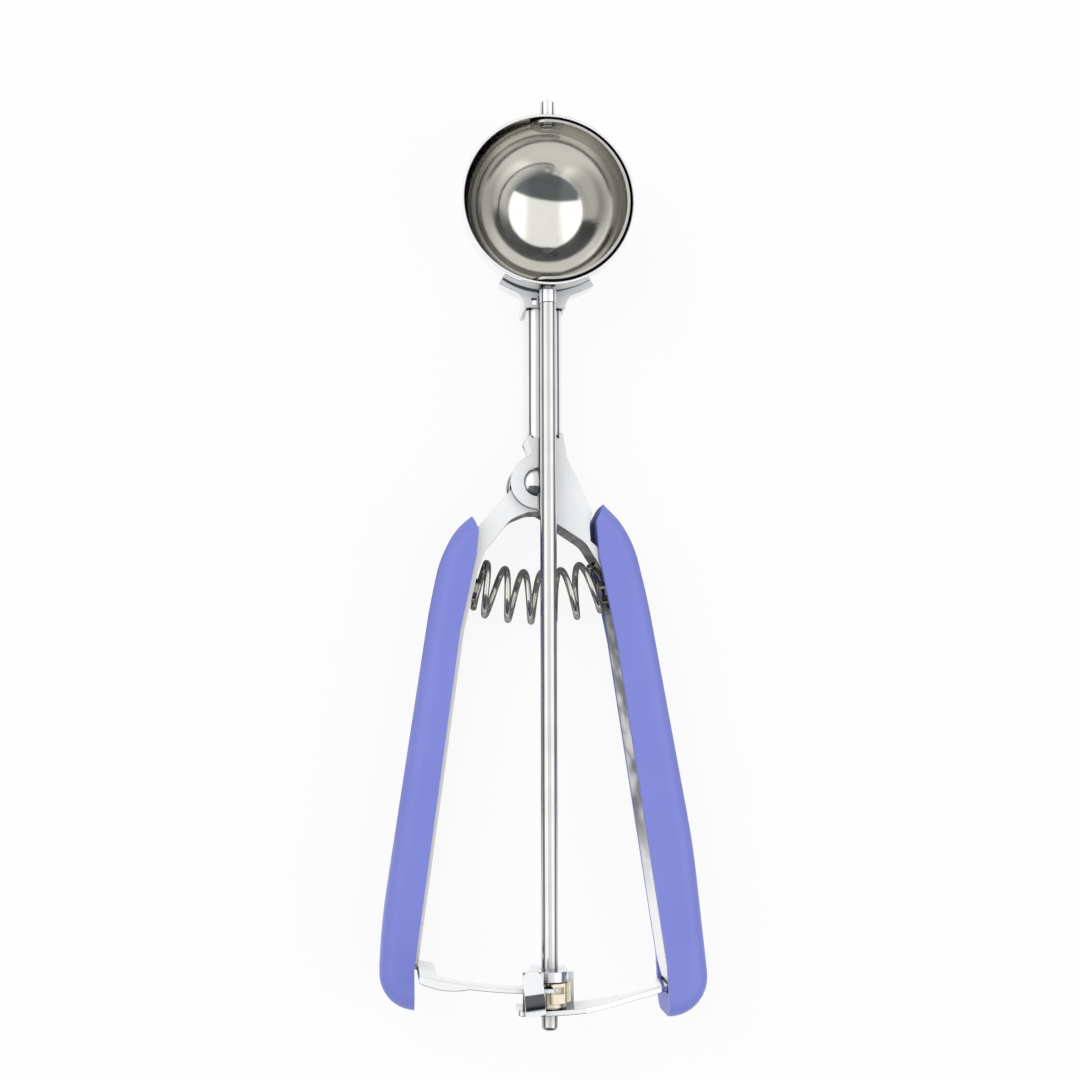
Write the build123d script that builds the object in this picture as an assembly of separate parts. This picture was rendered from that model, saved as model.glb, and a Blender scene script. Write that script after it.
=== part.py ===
from build123d import *
import copy
import math
import os

# A squeeze-handle ice cream scoop lying on its back with the bowl's mouth up.
# Working frame: X = 0 on the scraper shaft, Y = 0 at the handle pivot, Z = 0 half-way
# through the handles' depth; +Y points to the bowl and +Z out of its mouth.
# Every node is moved at the end so that the origin is the bottom centre of the whole tool.
# All sizes are millimetres, all angles degrees.

# ---- bowl ----
bowl_inner_radius = 20.9
bowl_wall = 0.6
collar_height = 3.8            # straight wall above the scraper's axis
pivot_to_bowl = 69.3           # handle pivot to the bowl's centre

# ---- scraper shaft ----
shaft_radius = 2.0
spigot_radius = 1.2            # thin upper end that carries the scraper
tail_radius = 1.4              # thin lower end that passes the guide bar
running_clearance = 0.05       # radial, every turning fit
peened_head_radius = 1.8
peened_head_length = 0.6

# ---- scraper ----
scraper_gap = 0.3              # scraper to the bowl's inside
scraper_thickness = 0.7
scraper_width = 8.0
scraper_sweep = 180.0
stud_radius = 1.85
stud_length = 4.15

# ---- handles ----
sheet = 1.1                    # pressed sheet of both handles
frame_half_depth = 7.0         # outside of the frame's plates
pivot_x = -2.2
neck_left = -4.9
neck_right = 4.1
neck_bottom = 11.0             # above the pivot, where the neck opens into the plates
neck_edge_round = 3.0
ear_radius = 6.7
lever_ear_radius = 6.2
rivet_radius = 1.9
rivet_head_radius = 3.6
rivet_front_height = 1.6
rivet_back_height = 1.2
pivot_washer_thickness = 0.3
pivot_washer_radius = 3.2
spacer_radius = 3.0
side_play = 0.04               # lever between its washers, each side
web_bend_radius = 6.0
foot_length = 6.0              # width of the lapped feet past each web
foot_rivet_radius = 1.2
foot_rivet_head = 2.0
foot_rivet_height = 0.7
foot_rivet_spread = 2.4        # each rivet from the middle of its foot
foot_rivet_fit = 0.03          # radial, shank in its holes
drill_reach = 5.0              # rivet holes are drilled this far either side of the joint

# ---- saddle and bush ----
saddle_sheet = 0.6
saddle_sleeve = 3.6            # overlap of the saddle on the neck
saddle_band = 1.5              # width of the wings round the bowl
saddle_spread = 31.0           # each wing's end from the neck, round the bowl
saddle_flare = 4.0             # hollow corner between wing and sleeve
saddle_wing_height = 5.0       # depth of the wings' side walls
saddle_window = (-3.7, -2.4, 1.7)   # left edge, right edge, length beside the bush
saddle_window_low = 0.7        # its lower edge above the saddle's
bush_radius = 2.1
bush_lift = 1.1                # bush above the saddle's front
bush_length = 3.2
bush_foot_width = 3.0

# ---- grips ----
grip_half_depth = 8.8
grip_fit = 0.05
grip_round = 4.0

# ---- rack and pinion ----
tooth_module = 0.5
pinion_teeth = 18
pressure_angle = 20.0
backlash = 0.09                # taken off each tooth's width at the pitch line
root_clearance = 0.125
rack_radius = 120.3            # handle pivot to the rack's near face
rack_thickness = 1.0
rack_body = 4.5                # solid metal in front of the tooth roots
rack_spare_gaps = 3            # tooth gaps past the travel
bridge_left = -31.2            # part of the rack that reaches back to the lever's foot
bridge_right = -27.0
bridge_back = -5.0
tongue_left = -37.4            # tongue under the lever's foot, inside the grip
tongue_front = 5.0
leaf_middle = -26.0            # deepest spot of the lip on the rack's root
leaf_right = -19.5
leaf_drop = 1.1
leaf_end_drop = 0.6
leaf_sheet = 1.0
pinion_above_rack = 0.3
pinion_below_rack = 3.4
hub_radius = 3.9
land_turn = 23.0               # heading of the pinion's plain land from straight up, at rest
land_width = 3.4
land_reach = 4.6               # shaft centre to the land's face
pin_radius = 0.6
pin_below_top = 1.65           # cross pin below the pinion's upper end
pin_recess_depth = 0.9
pin_recess_width = 2.6
pin_recess_height = 1.5
pin_far = 3.1                  # blind end of the pin past the shaft's centre

# ---- guide bar and its bracket ----
bar_drop = 6.0                 # rack's near face to the bar's near face
bar_thickness = 1.2
bar_front = [(28.5, 6.4), (21.0, 8.0), (8.5, 14.4)]
bar_end = 36.0
bar_foot_low = -5.5
bar_foot_x = 28.0
bracket_left = -5.9
bracket_right = 6.4
bracket_wall = 1.1
bracket_gap = 0.5              # pinion's teeth to the back wall
bracket_rise = 0.8             # back wall above the ear's lip
shelf_left = -7.8
shelf_right = -1.0
shelf_round = 1.2
ear_half_width = 4.3
ear_nose = 1.0                 # ear's round nose ahead of the shaft's centre
ear_gap = 0.35                 # top ear to the pinion
ear_rise = 2.4                 # height of the ear with its lip
tab_width = 4.7
tab_foot = -4.0                # middle of the tab's foot from the shaft
tab_lean = 7.0                 # degrees, to the left
tab_rise = 4.5                 # tab above the rack
tab_bend = 6.5
tab_run = 0.4                  # flat of the tab below its bend
rack_play = 0.2                # rack's front edge to the tab
washer_radius = 3.5
washer_thickness = 0.35
axial_play = 0.05
cap_radius = 1.95
cap_length = 3.9
cap_round = 1.0
cap_wall = 1.2                 # solid end of the cap

# ---- spring ----
spring_left = (-16.1, 25.7)    # middle of the first and last working turn, (across, below the pivot)
spring_right = (13.3, 24.9)
spring_bow = 2.75
spring_lean = 0.27             # slope of the end turns, which lie along the webs
spring_outer_radius = 6.9
spring_wire = 1.6
spring_coils = 5.65
dead_left = 0.4                # share of a turn that lies flat on each web
dead_right = 0.25
left_seat_spot = (-18.1, 26.2)
right_seat_spot = (15.3, 26.9)
seat_radius = 3.0
seat_height = 1.2
seat_root = 0.5                # how deep each seat is let into its web

# ---- handle lines, each point (across, below the pivot); webs are drawn on their middle ----
bar_radius = rack_radius + bar_drop
right_foot = (30.0, bar_radius - 4.8)
left_foot = (-31.6, rack_radius - 3.9)
right_web = [(1.0, 8.75), (10.0, 14.6), (14.9, 22.5), (17.7, 39.0), right_foot]
right_back = [
    (5.2, -5.6), (7.0, -2.0), (11.2, 7.2), (10.7, 11.0), (10.9, 14.6), (14.5, 17.6),
    (20.0, 24.0), (24.5, 38.0), (right_foot[0] + 7.0, right_foot[1])]
right_side = [(3.55, -12.0), (4.6, -5.6), (6.5, -1.8), (8.9, 3.5)]
ear_side = [(-3.7, -8.2), (-4.0, -5.5), (-6.4, 4.4)]
left_side = [(-4.35, -11.5), (-3.3, -8.6), (-3.3, -6.9)]
left_web = [(1.0, 6.8), (-4.4, 6.8), (-9.2, 8.8), (-15.4, 16.5), (-17.5, 22.5), (-20.8, 36.7), left_foot]
left_back = [
    (-8.0, 1.0), (-16.8, 11.2), (-22.6, 18.5), (-24.7, 27.0), (-26.8, 37.5),
    (left_foot[0] - 6.5, left_foot[1])]

# ---- grip outlines, each point (across, below the pivot) and the corner radii between ----
right_heel = bar_radius + 3.6
left_heel = rack_radius + 6.9
right_grip_outer = [
    (14.3, 5.2), (18.8, 9.8), (22.2, 16.0), (25.4, 29.5), (36.0, 89.0), (40.2, right_heel), (29.4, right_heel)]
right_grip_rounds = [18.0, 28.0, 150.0, 200.0, 9.5]
right_grip_inner = [
    (29.4, right_heel), (28.8, right_heel - 13.3), (17.1, 39.0), (13.0, 19.0), (12.1, 9.8), (14.3, 5.2)]
left_grip_outer = [
    (-18.4, 8.5), (-22.3, 11.7), (-25.8, 18.2), (-28.3, 30.0), (-39.7, left_heel - 20.2),
    (-40.6, left_heel - 1.7), (-31.9, left_heel)]
left_grip_rounds = [16.0, 28.0, 150.0, 150.0, 8.8]
left_grip_inner = [
    (-31.9, left_heel), (-32.0, left_heel - 10.2), (-21.3, 36.7), (-17.4, 18.5), (-16.8, 12.0), (-18.4, 8.5)]
grip_inner_round = 2.0
grip_heel_wall = 5.6           # closed lower end of each grip

# ---- derived places ----
shaft_height = frame_half_depth + saddle_sheet + bush_lift + bush_radius
bowl_outer_radius = bowl_inner_radius + bowl_wall
bowl_y = pivot_to_bowl
rim_z = shaft_height + collar_height
scraper_radius = bowl_inner_radius - scraper_gap
lever_half_depth = frame_half_depth - sheet - pivot_washer_thickness - side_play
neck_top = bowl_y - bowl_outer_radius - saddle_sheet
saddle_bottom = neck_top - saddle_sleeve
bush_top = neck_top
bush_low = bush_top - bush_length
shaft_shoulder = bush_low - axial_play
rack_middle_radius = rack_radius + rack_thickness / 2
pitch_radius = tooth_module * pinion_teeth / 2
tip_radius = pitch_radius + tooth_module
root_radius = pitch_radius - tooth_module - root_clearance
rack_pitch_z = shaft_height + pitch_radius
rack_tip_z = rack_pitch_z - tooth_module
rack_root_z = rack_pitch_z + tooth_module + root_clearance
rack_front_z = rack_root_z + rack_body
mesh_angle = math.degrees(math.asin(-pivot_x / rack_middle_radius))
gear_ratio = rack_middle_radius / pitch_radius
squeeze_angle = scraper_sweep / gear_ratio
rack_travel = math.radians(squeeze_angle) * rack_middle_radius
tooth_pitch = math.pi * tooth_module
pitch_angle_step = math.degrees(tooth_pitch / rack_middle_radius)
rack_gaps = math.ceil(rack_travel / tooth_pitch) + rack_spare_gaps
pinion_top = -rack_radius + pinion_above_rack
teeth_bottom = -rack_radius - rack_thickness - pinion_below_rack
washer_seat = axial_play - math.sqrt(bar_radius ** 2 - (washer_radius - pivot_x) ** 2)
pinion_bottom = washer_seat + washer_thickness
cap_top = -bar_radius - bar_thickness - axial_play
tail_end = cap_top - cap_length + cap_wall
pin_y = pinion_top - pin_below_top
near_face = bowl_y - scraper_radius + scraper_thickness
far_face = bowl_y + scraper_radius - scraper_thickness
back_wall_z = shaft_height - tip_radius - bracket_gap - bracket_wall
tab_z = rack_front_z + rack_play
tab_middle_z = tab_z + bar_thickness / 2
shelf_front_z = tab_middle_z - tab_bend
ear_bottom = pinion_top + ear_gap
bar_middle = -bar_radius - bar_thickness / 2
bar_rivet_turn = math.degrees(math.asin((right_foot[0] + foot_length / 2 - pivot_x) / bar_radius))
rack_rivet_turn = math.degrees(math.asin((left_foot[0] - foot_length / 2 - pivot_x) / rack_radius))


def below(points):
    """Turn (across, below the pivot) pairs into points of the working frame."""
    return [(x, -down) for x, down in points]


def slab(face, low, high):
    """Extrude a face of the XY plane from one height to another."""
    return Pos(0, 0, low) * extrude(face, high - low)


def rod_y(radius, low, high, x=0.0, z=shaft_height):
    """A round bar along Y."""
    middle = Pos(x, (low + high) / 2, z)
    return middle * Rot(90, 0, 0) * Cylinder(radius, high - low)


def rod_z(radius, low, high, x=pivot_x, y=0.0):
    """A round bar along Z, on the handle pivot unless told otherwise."""
    return Pos(x, y, (low + high) / 2) * Cylinder(radius, high - low)


def block(x0, x1, y0, y1, z0, z1):
    """A box from its two extreme corners."""
    middle = Pos((x0 + x1) / 2, (y0 + y1) / 2, (z0 + z1) / 2)
    return middle * Box(x1 - x0, y1 - y0, z1 - z0)


def strip(points, width):
    """A band of constant width along a filleted line of the XY plane."""
    line = FilletPolyline(*below(points), radius=web_bend_radius)
    return trace(line, line_width=width)


def region(points, radius=0.0):
    """A closed face of the XY plane, with rounded corners where a radius is given."""
    if radius > 0:
        return make_face(FilletPolyline(*points, radius=radius, close=True))
    return make_face(Polyline(*points, close=True))


def wedge(left, right, reach, x=pivot_x, y=0.0):
    """A flat wedge below a point, the pivot unless told otherwise, between two swing angles."""
    corners = [(x, y)]
    for angle in (left, right):
        turn = math.radians(angle)
        corners.append((x + reach * math.sin(turn), y - reach * math.cos(turn)))
    return region(corners)


def arc_plate(near, thick, left, right, low, high):
    """A plate curved round the pivot, between two swing angles and two heights."""
    ring = rod_z(near + thick, low, high) - rod_z(near, low - 1, high + 1)
    return ring & slab(wedge(left, right, 2 * near), low - 1, high + 1)


def swing(across, radius=rack_middle_radius):
    """Swing angle about the pivot of a spot on a circle, from straight down."""
    return math.degrees(math.asin((across - pivot_x) / radius))


def spoke(radius, near, far, angle, z):
    """A round bar along a radius of the pivot."""
    place = Pos(pivot_x, 0, z) * Rot(0, 0, angle) * Pos(0, -(near + far) / 2, 0)
    return place * Rot(90, 0, 0) * Cylinder(radius, far - near)


def bowl_form(radius, top):
    """A hemisphere of one radius with a straight collar up to a height."""
    ball = Pos(0, bowl_y, shaft_height) * Sphere(radius)
    reach = 2 * radius
    half = ball & block(-reach, reach, bowl_y - reach, bowl_y + reach, -reach, shaft_height)
    return half + rod_z(radius, shaft_height, top, 0, bowl_y)


def make_bowl():
    outside = bowl_form(bowl_outer_radius, rim_z)
    inside = bowl_form(bowl_inner_radius, rim_z + 1)
    reach = bowl_outer_radius + 1
    return outside - inside - rod_y(spigot_radius + running_clearance, bowl_y - reach, bowl_y + reach)


def saddle_plan():
    """Plan of the saddle: a sleeve on the neck that flares into two wings along the bowl."""
    band = Pos(0, bowl_y) * Circle(bowl_outer_radius + saddle_band)
    sector = wedge(-saddle_spread, saddle_spread, 2 * bowl_outer_radius, 0, bowl_y)
    sleeve_left = neck_left - saddle_sheet
    sleeve_right = neck_right + saddle_sheet
    middle = Pos((sleeve_left + sleeve_right) / 2, (saddle_bottom + bowl_y) / 2)
    sleeve = middle * Rectangle(sleeve_right - sleeve_left, bowl_y - saddle_bottom)
    plan = (band & sector) + sleeve
    corners = []
    for corner in plan.vertices():
        at_side = min(abs(corner.X - sleeve_left), abs(corner.X - sleeve_right)) < 0.01
        if at_side and saddle_bottom + 0.01 < corner.Y < bowl_y - 0.01:
            corners.append(corner)
    return fillet(corners, saddle_flare)


def make_saddle():
    plan = saddle_plan()
    body = slab(plan, -frame_half_depth, frame_half_depth + saddle_sheet)
    hollow = slab(offset(plan, -saddle_sheet, kind=Kind.INTERSECTION), -frame_half_depth - 1, frame_half_depth)
    sleeve = block(
        neck_left, neck_right, saddle_bottom - 1, neck_top, -frame_half_depth - 1, frame_half_depth
    )
    saddle = body - hollow - sleeve - neck_window() - bowl_form(bowl_outer_radius, rim_z)
    wing_low = frame_half_depth + saddle_sheet - saddle_wing_height
    for left, right in ((-bowl_y, neck_left - saddle_sheet), (neck_right + saddle_sheet, bowl_y)):
        saddle -= block(left, right, saddle_bottom, bowl_y, -frame_half_depth - 1, wing_low)
    return saddle


def neck_window():
    """Cutter for the window beside the bush, through the saddle's and the neck's front."""
    left, right, length = saddle_window
    low = saddle_bottom + saddle_window_low
    return block(left, right, low, low + length, frame_half_depth - 2 * sheet, shaft_height)


def make_bush():
    half = bush_foot_width / 2
    foot = block(-half, half, bush_low, bush_top, frame_half_depth + saddle_sheet, shaft_height)
    bore = rod_y(spigot_radius + running_clearance, bush_low - 1, bush_top + 1)
    return rod_y(bush_radius, bush_low, bush_top) + foot - bore


def frame_plate():
    """Plan of the frame's plates: neck root, ear, flare and handle flange."""
    outline = [(neck_left, neck_bottom)] + below(ear_side + right_web + right_back[::-1])
    outline.append((neck_right, neck_bottom))
    return region(outline) + Pos(pivot_x, 0) * Circle(ear_radius)


def make_neck():
    """The frame's upper tube, with rounded edges, flush inside the saddle's sleeve."""
    inside = frame_half_depth - sheet
    neck = block(neck_left, neck_right, neck_bottom, neck_top, -frame_half_depth, frame_half_depth)
    neck = fillet(neck.edges().filter_by(Axis.Y), neck_edge_round)
    bore = block(neck_left + sheet, neck_right - sheet, 0, neck_top + 1, -inside, inside)
    bore = fillet(bore.edges().filter_by(Axis.Y), neck_edge_round - sheet)
    return neck - bore - neck_window()


def make_handle_frame():
    inside = frame_half_depth - sheet
    plates = slab(frame_plate(), -frame_half_depth, frame_half_depth)
    plates -= slab(Rectangle(4 * bar_radius, 4 * bar_radius), -inside, inside)
    walls = strip(right_web, sheet) + strip(right_side, sheet) + strip(left_side, sheet)
    foot = arc_plate(
        bar_radius - sheet, sheet, swing(right_foot[0], bar_radius),
        swing(right_foot[0] + foot_length, bar_radius), -inside, inside,
    )
    body = plates + slab(walls, -frame_half_depth, frame_half_depth) + make_neck() + foot
    body = body & rod_z(bar_radius, -bar_radius, bar_radius)
    for drill in foot_holes(bar_radius, bar_rivet_turn):
        body -= drill
    return body - rod_z(rivet_radius, -bar_radius, bar_radius) - make_seat(right_seat_spot, right_web)


def rivet_head(height):
    """A shallow dome standing on Z = 0."""
    ball = (rivet_head_radius ** 2 + height ** 2) / (2 * height)
    half = Pos(0, 0, ball) * Box(4 * ball, 4 * ball, 2 * ball)
    return (Pos(0, 0, height - ball) * Sphere(ball)) & half


def make_rivet():
    front = Pos(pivot_x, 0, frame_half_depth) * rivet_head(rivet_front_height)
    back = Pos(pivot_x, 0, -frame_half_depth) * Rot(0, 180, 0) * rivet_head(rivet_back_height)
    return rod_z(rivet_radius, -frame_half_depth, frame_half_depth) + front + back


def make_pivot_washers():
    outer = frame_half_depth - sheet
    front = rod_z(pivot_washer_radius, outer - pivot_washer_thickness, outer)
    back = rod_z(pivot_washer_radius, -outer, pivot_washer_thickness - outer)
    bore = rod_z(rivet_radius, -frame_half_depth, frame_half_depth)
    return Compound(children=[front - bore, back - bore])


def make_left_lever():
    inside = lever_half_depth - sheet
    outline = below(left_web + left_back[::-1]) + [(pivot_x + lever_ear_radius * 0.8, -2.5)]
    plan = region(outline) + Pos(pivot_x, 0) * Circle(lever_ear_radius)
    plates = slab(plan, -lever_half_depth, lever_half_depth)
    plates -= slab(Rectangle(4 * rack_radius, 4 * rack_radius), -inside, inside)
    web = slab(strip(left_web, sheet), -lever_half_depth, lever_half_depth)
    foot = arc_plate(
        rack_radius - sheet, sheet, swing(left_foot[0] - foot_length), swing(left_foot[0]),
        -lever_half_depth, lever_half_depth,
    )
    body = (plates + web + foot) & rod_z(rack_radius, -rack_radius, rack_radius)
    for drill in foot_holes(rack_radius, rack_rivet_turn):
        body -= drill
    bore = rod_z(rivet_radius + running_clearance, -rack_radius, rack_radius)
    return body - bore - make_seat(left_seat_spot, left_web)


def make_spacer():
    half = lever_half_depth - sheet
    tube = rod_z(spacer_radius, -half, half)
    return tube - rod_z(rivet_radius + running_clearance, -half - 1, half + 1)


def foot_holes(joint_radius, turn):
    """Cutters for the two rivets of a lapped foot."""
    near = joint_radius - drill_reach
    far = joint_radius + drill_reach
    places = (-foot_rivet_spread, foot_rivet_spread)
    return [spoke(foot_rivet_radius, near, far, turn, z) for z in places]


def foot_rivets(joint_radius, turn, lower_sheet):
    """Two flat-headed rivets through a lapped foot and the plate under it."""
    near = math.sqrt((joint_radius - sheet) ** 2 - foot_rivet_head ** 2)
    far = joint_radius + lower_sheet
    parts = []
    for z in (-foot_rivet_spread, foot_rivet_spread):
        shank = spoke(foot_rivet_radius - foot_rivet_fit, near, far, turn, z)
        inner = spoke(foot_rivet_head, near - foot_rivet_height, near, turn, z)
        outer = spoke(foot_rivet_head, far, far + foot_rivet_height, turn, z)
        parts.append(shank + inner + outer)
    return Compound(children=parts)


def make_bar_rivets():
    return foot_rivets(bar_radius, bar_rivet_turn, bar_thickness)


def make_rack_rivets():
    return foot_rivets(rack_radius, rack_rivet_turn, rack_thickness)


def grip_hollow(back, side, heel):
    """The channel inside a grip, open towards the other handle."""
    edge = [(x + side * grip_fit, -down) for x, down in back]
    edge.append((edge[-1][0] + side * 0.2, -heel))
    far = -side * 60
    plan = region(edge + [(far, -heel), (far, edge[0][1])])
    half = frame_half_depth + grip_fit
    return slab(plan, -half, half)


def make_grip(outer, rounds, inner, back, side):
    """A grip with its outer edges rounded, hollowed for the handle's channel."""
    outside = FilletPolyline(*below(outer), radius=rounds)
    inside = FilletPolyline(*below(inner), radius=grip_inner_round)
    solid = slab(make_face(outside + inside), -grip_half_depth, grip_half_depth)
    chosen = []
    for edge in solid.edges():
        spot = edge.center()
        if abs(abs(spot.Z) - grip_half_depth) > 0.01:
            continue
        if outside.distance_to(Vector(spot.X, spot.Y, 0)) < 0.3:
            chosen.append(edge)
    solid = fillet(chosen, grip_round)
    return solid - grip_hollow(back, side, outer[-1][1] - grip_heel_wall)


def make_right_grip():
    return make_grip(right_grip_outer, right_grip_rounds, right_grip_inner, right_back, 1)


def make_left_grip():
    return make_grip(left_grip_outer, left_grip_rounds, left_grip_inner, left_back, -1)


def tooth_gap():
    """Cutter for one rack gap: a trapezoid that runs along Y, opening downwards."""
    slope = math.tan(math.radians(pressure_angle))
    half = (tooth_pitch / 2 + backlash / 2) / 2
    deep = rack_root_z - rack_pitch_z
    mouth = rack_pitch_z - rack_tip_z + 1
    corners = [
        (-half - mouth * slope, rack_pitch_z - mouth),
        (half + mouth * slope, rack_pitch_z - mouth),
        (half - deep * slope, rack_root_z),
        (-half + deep * slope, rack_root_z),
    ]
    return extrude(Plane.XZ * region(corners), rack_thickness, both=True)


def on_arc(x, radius):
    """The spot at a distance across on a circle round the pivot, below it."""
    return (x, -math.sqrt(radius ** 2 - (x - pivot_x) ** 2))


def make_leaf():
    """The lip on the front of the rack's root, deepest near its middle."""
    low_edge = rack_radius + rack_thickness
    start = on_arc(bridge_left, low_edge + leaf_end_drop)
    middle = on_arc(leaf_middle, low_edge + leaf_drop)
    end = on_arc(leaf_right, low_edge)
    top_end = on_arc(leaf_right, rack_middle_radius)
    top_start = on_arc(bridge_left, rack_middle_radius)
    outline = ThreePointArc(start, middle, end) + Polyline(end, top_end, top_start, start)
    return slab(make_face(outline), rack_front_z - leaf_sheet, rack_front_z)


def make_rack():
    left = swing(bridge_left)
    body = arc_plate(rack_radius, rack_thickness, left, mesh_angle, rack_tip_z, rack_front_z)
    body += arc_plate(rack_radius, rack_thickness, left, swing(bridge_right), bridge_back, rack_front_z)
    body += arc_plate(rack_radius, rack_thickness, swing(tongue_left), left, bridge_back, tongue_front)
    body += make_leaf()
    cutter = tooth_gap()
    for step in range(rack_gaps):
        angle = mesh_angle - step * pitch_angle_step
        body -= Pos(pivot_x, 0, 0) * Rot(0, 0, angle) * Pos(0, -rack_middle_radius, 0) * cutter
    for drill in foot_holes(rack_radius, rack_rivet_turn):
        body -= drill
    return body


def gear_outline():
    """Involute outline of the pinion, a tooth straight up, as (across, up) points."""
    base = pitch_radius * math.cos(math.radians(pressure_angle))
    flat = math.tan(math.radians(pressure_angle)) - math.radians(pressure_angle)
    width = (tooth_pitch / 2 - backlash / 2) / pitch_radius / 2
    steps = 4
    flank = [(root_radius, width + flat)]
    for step in range(steps + 1):
        radius = base + (tip_radius - base) * step / steps
        roll = math.acos(base / radius)
        flank.append((radius, width + flat - (math.tan(roll) - roll)))
    points = []
    for tooth in range(pinion_teeth):
        middle = 2 * math.pi * tooth / pinion_teeth
        for radius, half in flank:
            points.append((radius * math.sin(middle - half), radius * math.cos(middle - half)))
        for radius, half in reversed(flank):
            points.append((radius * math.sin(middle + half), radius * math.cos(middle + half)))
    return points


def pin_tool(low, high, radius):
    """A bar square to the shaft at the land's heading."""
    place = Pos(0, pin_y, shaft_height) * Rot(0, land_turn, 0) * Pos(0, 0, (low + high) / 2)
    return place * Cylinder(radius, high - low)


def make_pinion():
    """Toothed part of the shaft, with a plain land for the cross pin where no tooth is used."""
    outline = [(x, z + shaft_height) for x, z in gear_outline()]
    teeth = extrude(Plane.XZ * region(outline), pinion_top - teeth_bottom)
    turn = Pos(0, (pinion_top + teeth_bottom) / 2, shaft_height) * Rot(0, land_turn, 0)
    length = pinion_top - teeth_bottom
    land = turn * Pos(0, 0, land_reach / 2) * Box(land_width, length, land_reach)
    above = turn * Pos(0, 0, land_reach + tip_radius / 2) * Box(land_width, length, tip_radius)
    body = Pos(0, pinion_top, 0) * teeth + rod_y(hub_radius, pinion_bottom, teeth_bottom) + land - above
    place = Pos(0, pin_y, shaft_height) * Rot(0, land_turn, 0)
    recess = Box(pin_recess_width, pin_recess_height, 2 * pin_recess_depth)
    body -= place * Pos(0, 0, land_reach) * recess
    body -= pin_tool(-pin_far, tip_radius, pin_radius)
    return body - rod_y(shaft_radius, pinion_bottom - 1, pinion_top + 1)


def make_pinion_pin():
    return pin_tool(-pin_far, land_reach - pin_recess_depth, pin_radius)


def guide_shelf():
    """The bar seen along the shaft: (across, up) outline as a thin plan."""
    points = [
        (bar_end, bar_foot_low), (bar_end, bar_front[0][1])] + bar_front + [
        (shelf_right, shelf_front_z), (shelf_left, shelf_front_z), (shelf_left, back_wall_z),
        (bar_foot_x, back_wall_z), (bar_foot_x, bar_foot_low),
    ]
    return extrude(Plane.XZ * region(points, shelf_round), 2 * bar_radius)


def make_ear():
    """The bracket's top ear: a sheet with a rounded nose and a lip turned down round it."""
    top = ear_bottom + ear_rise
    nose = shaft_height + ear_nose
    body = block(-ear_half_width, ear_half_width, ear_bottom, top, back_wall_z, nose)
    body += rod_y(ear_half_width, ear_bottom, top, 0, nose)
    inner = ear_half_width - bar_thickness
    under = top - bar_thickness
    body -= block(-inner, inner, ear_bottom - 1, under, back_wall_z + bracket_wall, nose)
    body -= rod_y(inner, ear_bottom - 1, under, 0, nose)
    return body - rod_y(shaft_radius + running_clearance, under - 1, top + 1)


def make_tab():
    """The bracket's front tab: bent up from the bar, with a round top and a lean to the left."""
    top = -rack_radius + tab_rise
    bend = FilletPolyline(
        (top, tab_middle_z), (bar_middle, tab_middle_z), (bar_middle, shelf_front_z - tab_run), radius=tab_bend
    )
    sheet_form = extrude(Plane.YZ * trace(bend, line_width=bar_thickness), tab_width / 2, both=True)
    half = tab_width / 2
    low = -bar_radius - 2 * bar_thickness
    shape = block(-half, half, low, top - half, 0, rack_radius) + rod_z(half, 0, rack_radius, 0, top - half)
    tab = sheet_form & shape
    return Pos(tab_foot, bar_middle, 0) * Rot(0, 0, tab_lean) * Pos(0, -bar_middle, 0) * tab


def make_guide_bar():
    reach = bar_radius + bar_thickness
    ring = rod_z(reach, bar_foot_low - 1, rack_radius) - rod_z(bar_radius, bar_foot_low - 2, 2 * rack_radius)
    wall_top = ear_bottom + bracket_rise
    wall = block(bracket_left, bracket_right, bar_middle, wall_top, back_wall_z, back_wall_z + bracket_wall)
    body = (ring & guide_shelf()) + wall + make_ear() + make_tab()
    for drill in foot_holes(bar_radius, bar_rivet_turn):
        body -= drill
    return body - rod_y(tail_radius + running_clearance, -reach - 1, -bar_radius + 1)


def make_thrust_washer():
    ring = rod_y(washer_radius, washer_seat, pinion_bottom)
    return ring - rod_y(tail_radius + running_clearance, washer_seat - 1, pinion_bottom + 1)


def make_end_cap():
    """A blind cap with a rounded end, pressed on the shaft's tail."""
    cap = rod_y(cap_radius, cap_top - cap_length, cap_top)
    cap = fillet(cap.edges().sort_by(Axis.Y)[0], cap_round)
    return cap - rod_y(tail_radius, tail_end, cap_top + 1)


def make_shaft():
    main = rod_y(shaft_radius, pinion_bottom, shaft_shoulder)
    tail = rod_y(tail_radius, tail_end, pinion_bottom)
    spigot = rod_y(spigot_radius, shaft_shoulder, near_face)
    head = rod_y(peened_head_radius, near_face, near_face + peened_head_length)
    return main + tail + spigot + head - pin_tool(-pin_far, land_reach, pin_radius)


def make_scraper():
    centre = Pos(0, bowl_y, shaft_height)
    shell = centre * Sphere(scraper_radius) - centre * Sphere(scraper_radius - scraper_thickness)
    half = scraper_width / 2
    band = block(0, 2 * bowl_outer_radius, 0, 2 * bowl_y, shaft_height - half, shaft_height + half)
    blade = shell & (band + rod_y(half, 0, 2 * bowl_y))
    blade -= rod_y(spigot_radius, 0, 2 * bowl_y)
    blade -= rod_y(peened_head_radius, near_face, bowl_y)
    return blade - rod_y(peened_head_radius, bowl_y, far_face)


def make_scraper_stud():
    seat = bowl_y + bowl_outer_radius + axial_play
    shank = rod_y(spigot_radius, far_face, seat)
    inner = rod_y(peened_head_radius, far_face - peened_head_length, far_face)
    outer = rod_y(stud_radius, seat, seat + stud_length)
    return shank + inner + outer


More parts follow.
